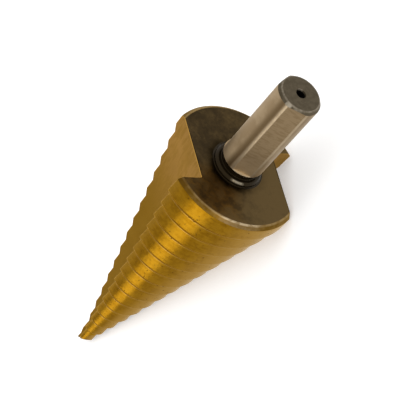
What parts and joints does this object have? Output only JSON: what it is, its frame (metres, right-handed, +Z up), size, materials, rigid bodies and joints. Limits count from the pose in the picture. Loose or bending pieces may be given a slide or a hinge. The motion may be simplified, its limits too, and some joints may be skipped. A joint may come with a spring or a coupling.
{
  "type": "step drill bit",
  "caption": "Cone-shaped step drill bit with straight flutes and a round shank with flats, for opening up holes in sheet metal.",
  "frame": {"origin": "centre of the footprint of the lying bit, at bench height", "axes": "+X from the point towards the shank end, in plan; +Z up from the bench. The bit lies on one flute, on the pilot and on two corners of its widest land, and its own axis climbs 8.8 degrees towards the shank"},
  "size_m": [0.1082, 0.032, 0.027],
  "materials": {
    "coated_tool_steel": "gold-coloured hard coating, polished on the lands, with a dark oxide back face and a ground grey shank"
  },
  "bodies": {
    "root": {"step_drill_bit": "coated_tool_steel"}
  },
  "joints": []
}
